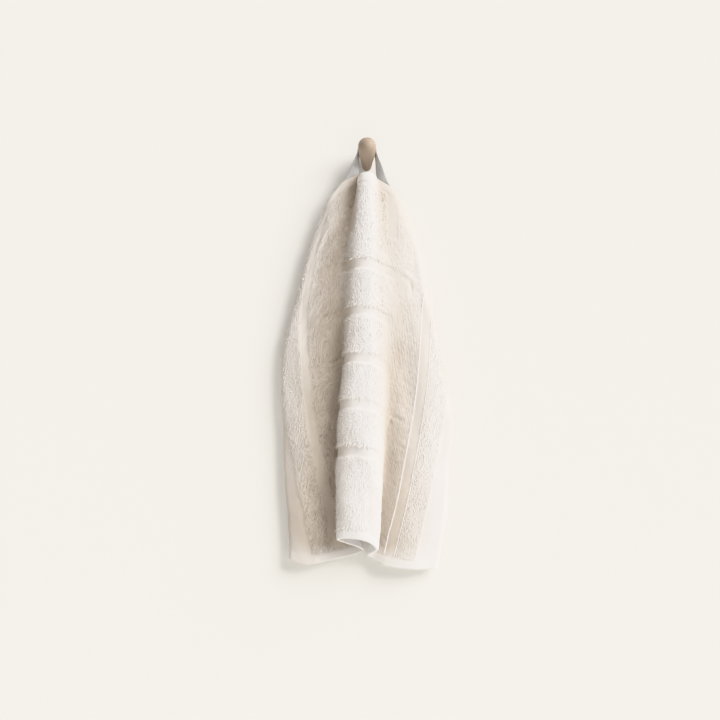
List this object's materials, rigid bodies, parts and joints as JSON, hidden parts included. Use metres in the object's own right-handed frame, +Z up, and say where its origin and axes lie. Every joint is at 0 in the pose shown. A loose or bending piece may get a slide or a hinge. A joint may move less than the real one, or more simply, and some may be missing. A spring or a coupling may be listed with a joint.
{
  "type": "hand towel on a wall peg",
  "caption": "Terry hand towel hung in folds by a cloth tape loop from a slanted turned wooden wall peg.",
  "frame": {"origin": "middle of the peg's flat back face, on the wall", "axes": "+Z up, -Y out from the wall towards the viewer, +X to the viewer's right"},
  "size_m": [0.3326, 0.066, 0.8293],
  "materials": {
    "cream_terry": "matt cotton terry with flat woven bands",
    "grey_tape": "matt woven cotton tape",
    "light_wood": "smooth matt turned wood"
  },
  "bodies": {
    "root": {"towel": "cream_terry", "hanging_loop": "grey_tape", "wall_peg": "light_wood"}
  },
  "joints": []
}
